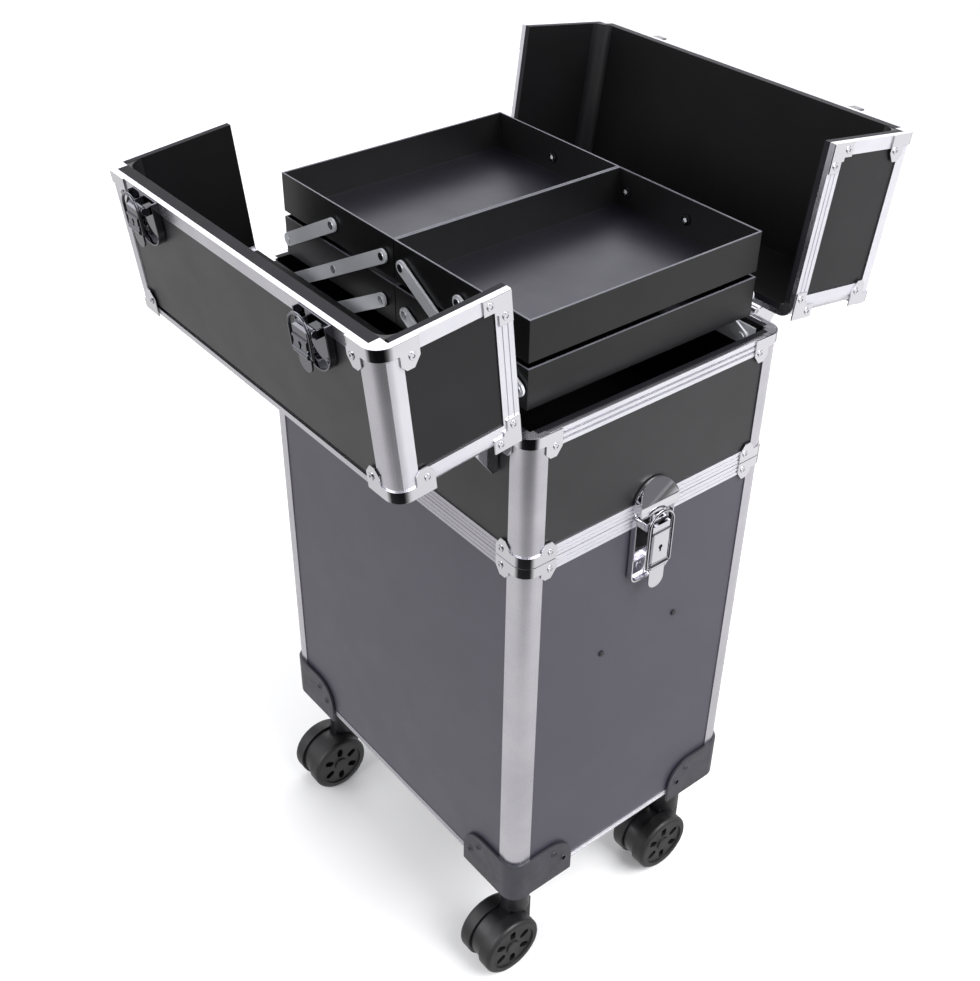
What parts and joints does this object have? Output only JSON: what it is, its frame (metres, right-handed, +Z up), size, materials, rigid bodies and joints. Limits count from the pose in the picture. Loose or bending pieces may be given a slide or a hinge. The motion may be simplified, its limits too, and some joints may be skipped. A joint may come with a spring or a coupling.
{
  "type": "rolling makeup train case",
  "caption": "Rolling makeup train case with satin metal posts, dark laminate panels, two opening lids, cantilever trays, a lift-off upper case and swivel casters.",
  "frame": {"origin": "on the floor under the centre of the case body", "axes": "+Z up, X along the wide faces, +Y toward the deeper rear lid with the carry handle, -X toward the pull handle"},
  "size_m": [0.3746, 0.5143, 0.7311],
  "materials": {
    "lower_board": "black ABS laminate over board, light orange-peel grain, satin",
    "upper_board": "black ABS laminate over board, light orange-peel grain, satin",
    "inner_board": "black lining over board, matt",
    "aluminium": "satin anodised, fine lengthwise grooves",
    "chrome": "chrome plated pressed sheet, polished",
    "steel_pin": "zinc plated, satin",
    "arm_steel": "zinc plated strap, satin",
    "tray_plastic": "black, fine leather grain, satin",
    "mount_plastic": "charcoal, moulded, satin",
    "caster_plastic": "black, moulded, satin",
    "wheel_rubber": "black, matt tread",
    "grip_plastic": "black, satin"
  },
  "bodies": {
    "lower_case": {"lower_long_panels": "lower_board", "lower_end_panels": "lower_board", "base_panel": "inner_board", "lower_corner_posts": "aluminium", "base_frame": "aluminium", "lower_split_frame": "aluminium", "lower_corner_brackets": "chrome", "caster_mounts": "mount_plastic", "side_latch_bases": "chrome", "pull_handle_guides": "aluminium"},
    "upper_case": {"upper_long_panels": "upper_board", "upper_end_panels": "upper_board", "upper_floor": "inner_board", "upper_corner_posts": "aluminium", "upper_split_frame": "aluminium", "rim_frame": "aluminium", "upper_corner_brackets": "chrome", "side_latch_catches": "chrome", "lid_hinge_brackets": "chrome", "lid_hinge_pins": "steel_pin", "tray_pivot_plates": "arm_steel"},
    "front_lid": {"front_lid_panels": "upper_board", "front_lid_frame": "aluminium", "front_lid_brackets": "chrome", "front_lid_leaves": "chrome", "lid_latch_bases": "chrome"},
    "rear_lid": {"rear_lid_panels": "upper_board", "rear_lid_frame": "aluminium", "rear_lid_brackets": "chrome", "rear_lid_leaves": "chrome", "lid_latch_catches": "chrome", "carry_handle_mounts": "chrome"},
    "left_side_latch_lever": {"left_side_latch_lever": "chrome"},
    "right_side_latch_lever": {"right_side_latch_lever": "chrome"},
    "left_side_latch_bail": {"left_side_latch_bail": "chrome"},
    "right_side_latch_bail": {"right_side_latch_bail": "chrome"},
    "left_lid_latch_lever": {"left_lid_latch_lever": "chrome"},
    "right_lid_latch_lever": {"right_lid_latch_lever": "chrome"},
    "left_lid_latch_bail": {"left_lid_latch_bail": "chrome"},
    "right_lid_latch_bail": {"right_lid_latch_bail": "chrome"},
    "carry_handle": {"carry_handle": "grip_plastic"},
    "pull_handle": {"pull_handle": "grip_plastic"},
    "left_middle_tray": {"left_middle_tray": "tray_plastic"},
    "left_top_tray": {"left_top_tray": "tray_plastic"},
    "right_middle_tray": {"right_middle_tray": "tray_plastic"},
    "right_top_tray": {"right_top_tray": "tray_plastic"},
    "left_long_arms": {"left_long_arms": "arm_steel"},
    "left_lower_arms": {"left_lower_arms": "arm_steel"},
    "left_upper_arms": {"left_upper_arms": "arm_steel"},
    "right_long_arms": {"right_long_arms": "arm_steel"},
    "right_lower_arms": {"right_lower_arms": "arm_steel"},
    "right_upper_arms": {"right_upper_arms": "arm_steel"},
    "front_left_caster": {"front_left_caster": "caster_plastic"},
    "front_right_caster": {"front_right_caster": "caster_plastic"},
    "rear_left_caster": {"rear_left_caster": "caster_plastic"},
    "rear_right_caster": {"rear_right_caster": "caster_plastic"},
    "front_left_wheels": {"front_left_wheels": "wheel_rubber"},
    "front_right_wheels": {"front_right_wheels": "wheel_rubber"},
    "rear_left_wheels": {"rear_left_wheels": "wheel_rubber"},
    "rear_right_wheels": {"rear_right_wheels": "wheel_rubber"}
  },
  "joints": [
    {"name": "upper_case_lift", "type": "slide", "parent": "lower_case", "child": "upper_case", "axis": [0, 0, 1], "range_m": [0, 0.12]},
    {"name": "pull_handle_slide", "type": "slide", "parent": "lower_case", "child": "pull_handle", "axis": [0, 0, -1], "range_m": [-0.26, 0]},
    {"name": "front_lid_hinge", "type": "hinge", "parent": "upper_case", "child": "front_lid", "pos_m": [0, -0.13, 0.5925], "axis": [1, 0, 0], "range_deg": [-96.1, 0]},
    {"name": "rear_lid_hinge", "type": "hinge", "parent": "upper_case", "child": "rear_lid", "pos_m": [0, 0.13, 0.5925], "axis": [-1, 0, 0], "range_deg": [-98, 0]},
    {"name": "left_side_latch_turn", "type": "hinge", "parent": "lower_case", "child": "left_side_latch_lever", "pos_m": [-0.1775, 0, 0.47265], "axis": [0, 1, 0], "range_deg": [0, 110]},
    {"name": "left_side_latch_bail_turn", "type": "hinge", "parent": "left_side_latch_lever", "child": "left_side_latch_bail", "pos_m": [-0.1822, 0, 0.43645], "axis": [0, 1, 0], "range_deg": [-110, 0]},
    {"name": "right_side_latch_turn", "type": "hinge", "parent": "lower_case", "child": "right_side_latch_lever", "pos_m": [0.1775, 0, 0.47265], "axis": [0, -1, 0], "range_deg": [0, 110]},
    {"name": "right_side_latch_bail_turn", "type": "hinge", "parent": "right_side_latch_lever", "child": "right_side_latch_bail", "pos_m": [0.1822, 0, 0.43645], "axis": [0, -1, 0], "range_deg": [-110, 0]},
    {"name": "left_lid_latch_turn", "type": "hinge", "parent": "front_lid", "child": "left_lid_latch_lever", "pos_m": [-0.108, -0.24876, 0.69214], "axis": [-1, 0, 0], "range_deg": [0, 110]},
    {"name": "left_lid_latch_bail_turn", "type": "hinge", "parent": "left_lid_latch_lever", "child": "left_lid_latch_bail", "pos_m": [-0.108, -0.25189, 0.67723], "axis": [-1, 0, 0], "range_deg": [-110, 0]},
    {"name": "right_lid_latch_turn", "type": "hinge", "parent": "front_lid", "child": "right_lid_latch_lever", "pos_m": [0.108, -0.24876, 0.69214], "axis": [-1, 0, 0], "range_deg": [0, 110]},
    {"name": "right_lid_latch_bail_turn", "type": "hinge", "parent": "right_lid_latch_lever", "child": "right_lid_latch_bail", "pos_m": [0.108, -0.25189, 0.67723], "axis": [-1, 0, 0], "range_deg": [-110, 0]},
    {"name": "carry_handle_turn", "type": "hinge", "parent": "rear_lid", "child": "carry_handle", "pos_m": [0, 0.24833, 0.66563], "axis": [1, 0, 0], "range_deg": [-8, 100]},
    {"name": "left_trays_swing", "type": "hinge", "parent": "upper_case", "child": "left_long_arms", "pos_m": [-0.143, 0, 0.57917], "axis": [0, -1, 0], "range_deg": [0, 98]},
    {"name": "left_middle_tray_level", "type": "hinge", "parent": "left_long_arms", "child": "left_middle_tray", "pos_m": [-0.0774, 0, 0.61554], "axis": [0, -1, 0], "range_deg": [-98, 0]},
    {"name": "left_top_tray_level", "type": "hinge", "parent": "left_long_arms", "child": "left_top_tray", "pos_m": [-0.0118, 0, 0.6519], "axis": [0, -1, 0], "range_deg": [-98, 0]},
    {"name": "left_lower_arms_swing", "type": "hinge", "parent": "upper_case", "child": "left_lower_arms", "pos_m": [-0.08021, 0, 0.57917], "axis": [0, -1, 0], "range_deg": [0, 98]},
    {"name": "left_upper_arms_swing", "type": "hinge", "parent": "left_middle_tray", "child": "left_upper_arms", "pos_m": [-0.143, 0, 0.61554], "axis": [0, -1, 0], "range_deg": [0, 98]},
    {"name": "right_trays_swing", "type": "hinge", "parent": "upper_case", "child": "right_long_arms", "pos_m": [0.143, 0, 0.57917], "axis": [0, 1, 0], "range_deg": [0, 98]},
    {"name": "right_middle_tray_level", "type": "hinge", "parent": "right_long_arms", "child": "right_middle_tray", "pos_m": [0.0774, 0, 0.61554], "axis": [0, 1, 0], "range_deg": [-98, 0]},
    {"name": "right_top_tray_level", "type": "hinge", "parent": "right_long_arms", "child": "right_top_tray", "pos_m": [0.0118, 0, 0.6519], "axis": [0, 1, 0], "range_deg": [-98, 0]},
    {"name": "right_lower_arms_swing", "type": "hinge", "parent": "upper_case", "child": "right_lower_arms", "pos_m": [0.08021, 0, 0.57917], "axis": [0, 1, 0], "range_deg": [0, 98]},
    {"name": "right_upper_arms_swing", "type": "hinge", "parent": "right_middle_tray", "child": "right_upper_arms", "pos_m": [0.143, 0, 0.61554], "axis": [0, 1, 0], "range_deg": [0, 98]},
    {"name": "front_left_swivel", "type": "hinge", "parent": "lower_case", "child": "front_left_caster", "pos_m": [-0.1405, -0.0955, 0.06], "axis": [0, 0, 1], "continuous": true},
    {"name": "front_left_roll", "type": "hinge", "parent": "front_left_caster", "child": "front_left_wheels", "pos_m": [-0.1405, -0.1135, 0.0301], "axis": [1, 0, 0], "continuous": true},
    {"name": "front_right_swivel", "type": "hinge", "parent": "lower_case", "child": "front_right_caster", "pos_m": [0.1405, -0.0955, 0.06], "axis": [0, 0, 1], "continuous": true},
    {"name": "front_right_roll", "type": "hinge", "parent": "front_right_caster", "child": "front_right_wheels", "pos_m": [0.1405, -0.1135, 0.0301], "axis": [1, 0, 0], "continuous": true},
    {"name": "rear_left_swivel", "type": "hinge", "parent": "lower_case", "child": "rear_left_caster", "pos_m": [-0.1405, 0.0955, 0.06], "axis": [0, 0, 1], "continuous": true},
    {"name": "rear_left_roll", "type": "hinge", "parent": "rear_left_caster", "child": "rear_left_wheels", "pos_m": [-0.1405, 0.0775, 0.0301], "axis": [1, 0, 0], "continuous": true},
    {"name": "rear_right_swivel", "type": "hinge", "parent": "lower_case", "child": "rear_right_caster", "pos_m": [0.1405, 0.0955, 0.06], "axis": [0, 0, 1], "continuous": true},
    {"name": "rear_right_roll", "type": "hinge", "parent": "rear_right_caster", "child": "rear_right_wheels", "pos_m": [0.1405, 0.0775, 0.0301], "axis": [1, 0, 0], "continuous": true}
  ],
  "couplings": [
    {"joint": "left_side_latch_bail_turn", "follows": "left_side_latch_turn", "ratio": -1},
    {"joint": "right_side_latch_bail_turn", "follows": "right_side_latch_turn", "ratio": -1},
    {"joint": "left_lid_latch_bail_turn", "follows": "left_lid_latch_turn", "ratio": -1},
    {"joint": "right_lid_latch_bail_turn", "follows": "right_lid_latch_turn", "ratio": -1},
    {"joint": "left_middle_tray_level", "follows": "left_trays_swing", "ratio": -1},
    {"joint": "left_top_tray_level", "follows": "left_trays_swing", "ratio": -1},
    {"joint": "left_lower_arms_swing", "follows": "left_trays_swing", "ratio": 1},
    {"joint": "left_upper_arms_swing", "follows": "left_trays_swing", "ratio": 1},
    {"joint": "right_middle_tray_level", "follows": "right_trays_swing", "ratio": -1},
    {"joint": "right_top_tray_level", "follows": "right_trays_swing", "ratio": -1},
    {"joint": "right_lower_arms_swing", "follows": "right_trays_swing", "ratio": 1},
    {"joint": "right_upper_arms_swing", "follows": "right_trays_swing", "ratio": 1}
  ]
}
